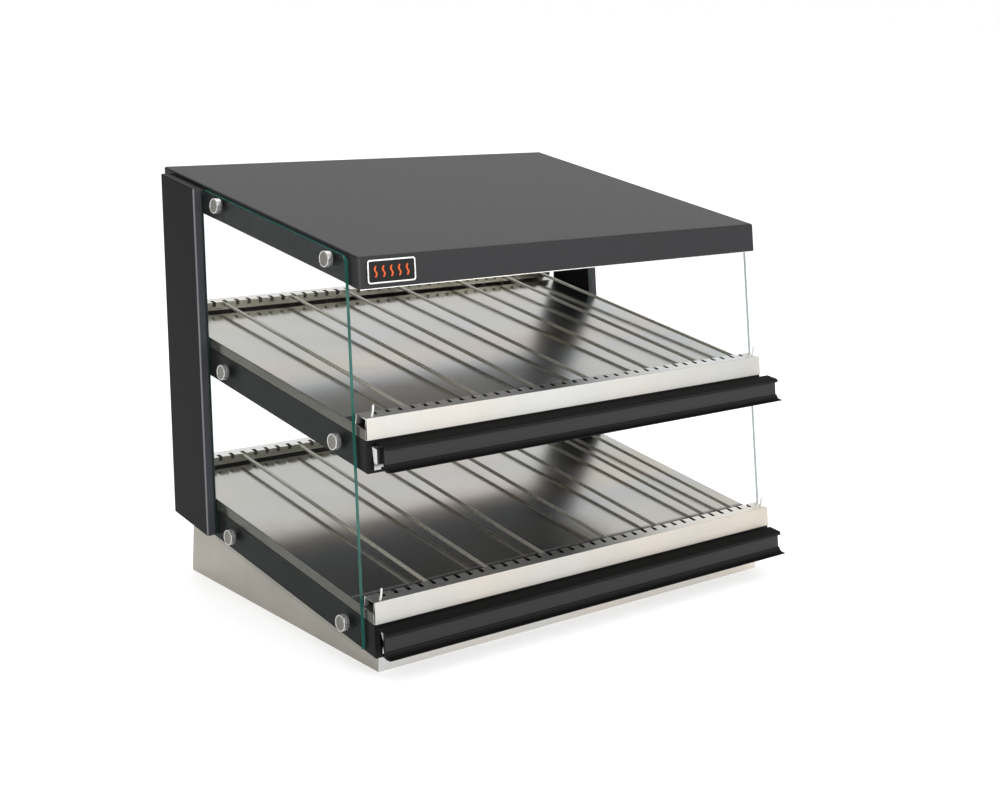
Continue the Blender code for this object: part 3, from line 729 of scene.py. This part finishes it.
def make_floor():
    """Pale floor, seen as evenly lit out to the horizon."""
    shader = Shader("pale_floor")
    tone = shader.mix(shader.noise(0.7), (0.84, 0.84, 0.84, 1), (0.87, 0.87, 0.87, 1))
    shader.paint(Base_Color=tone, Roughness=0.8, Specular_IOR_Level=0.2,
                 Normal=shader.bump(shader.noise(400), 0.02, 0.0005))
    seen = shader.add("LightPath").outputs["Is Camera Ray"]
    strength = shader.span(seen, FLOOR_GLOW, FLOOR_GLOW_SEEN, 0.0, 1.0)
    glow = shader.add("Emission", {"Color": (1, 1, 1, 1), "Strength": strength})
    both = shader.add("AddShader", {0: shader.surface.outputs["BSDF"], 1: glow.outputs["Emission"]})
    shader.feed(shader.output, "Surface", both.outputs["Shader"])
    bpy.ops.mesh.primitive_plane_add(size=FLOOR_SIZE)
    floor = bpy.context.object
    floor.name = "studio_floor"
    floor.data.materials.append(shader.material)


def make_world():
    """Surroundings: white to the eye, bright behind and to the front right, dim on the left."""
    world = bpy.data.worlds.new("studio")
    bpy.context.scene.world = world
    world.use_nodes = True
    tree = world.node_tree
    background = tree.nodes["Background"]
    place = tree.nodes.new("ShaderNodeTexCoord")
    dot = tree.nodes.new("ShaderNodeVectorMath")
    dot.operation = "DOT_PRODUCT"
    dot.inputs[1].default_value = DIM_SIDE.normalized()
    fade = tree.nodes.new("ShaderNodeMapRange")
    fade.interpolation_type = "SMOOTHSTEP"
    limits = {"From Min": DIM_FROM, "From Max": DIM_TO, "To Min": BRIGHT, "To Max": DIM}
    for socket, value in limits.items():
        fade.inputs[socket].default_value = value
    path = tree.nodes.new("ShaderNodeLightPath")
    seen = tree.nodes.new("ShaderNodeMath")
    seen.operation = "MAXIMUM"
    tree.links.new(place.outputs["Generated"], dot.inputs[0])
    tree.links.new(dot.outputs["Value"], fade.inputs["Value"])
    tree.links.new(fade.outputs["Result"], seen.inputs[0])
    tree.links.new(path.outputs["Is Camera Ray"], seen.inputs[1])
    tree.links.new(seen.outputs["Value"], background.inputs["Strength"])
    background.inputs["Color"].default_value = (1, 1, 1, 1)


def add_area_light(name, place, target, size, power):
    light = bpy.data.lights.new(name, "AREA")
    light.shape = "RECTANGLE"
    light.size, light.size_y = size
    light.energy = power
    lamp = bpy.data.objects.new(name, light)
    bpy.context.scene.collection.objects.link(lamp)
    lamp.location = place
    lamp.rotation_mode = "QUATERNION"
    lamp.rotation_quaternion = (Vector(target) - Vector(place)).to_track_quat("-Z", "Y")


def make_lights():
    add_area_light("key_softbox", (1.4, -3.0, 1.5), (0.1, -0.3, 0.1), (2.4, 1.4), 25)
    add_area_light("top_softbox", (0.4, 0.8, 3.2), (0, 0, 0.4), (2.4, 2.4), 22)
    add_area_light("edge_softbox", (-2.1, -2.2, 1.25), (-0.3, -0.2, 0.3), (0.35, 0.9), 14)


# The photograph's viewpoint, from a perspective fit of the case's main edges.
CAMERA_PLACE = Vector((-1.88387, -2.24673, 0.99959))
CAMERA_FORWARD = Vector((0.63958, 0.76565, -0.06863))
CAMERA_UP = Vector((0.01671, 0.07542, 0.99701))
CAMERA_LENS = 60.907
CAMERA_SHIFT = {"shift_x": 0.0080, "shift_y": -0.2809}


def make_camera():
    """Camera tilted down by 4 degrees, with its view shifted further down.

    The shift holds only where the camera is put here: from any other place it would leave the
    case outside the picture, so a driver on the camera's place turns it off there.
    """
    near = 0.0001
    data = bpy.data.cameras.new("camera")
    camera = bpy.data.objects.new("camera", data)
    bpy.context.scene.collection.objects.link(camera)
    data.sensor_width = 36.0
    data.lens = CAMERA_LENS
    data.clip_end = 200
    back = -CAMERA_FORWARD.normalized()
    right = CAMERA_UP.cross(back).normalized()
    camera.matrix_world = frame_at(CAMERA_PLACE, right, back.cross(right))
    for path, shift in CAMERA_SHIFT.items():
        driver = data.driver_add(path).driver
        driver.type = "SCRIPTED"
        variable = driver.variables.new()
        variable.name = "x"
        variable.type = "TRANSFORMS"
        variable.targets[0].id = camera
        variable.targets[0].transform_type = "LOC_X"
        driver.expression = f"{shift} if abs(x - ({CAMERA_PLACE.x:.5f})) < {near} else 0"
    bpy.context.scene.camera = camera


FINISHES = make_finishes()
finish_nodes()
smooth_nodes()
make_standoff_caps()
make_rods()
make_badge()
make_label_inserts()
make_dials()
make_rear_fittings()
make_floor()
make_world()
make_lights()
make_camera()
bpy.context.scene.view_settings.view_transform = "Standard"
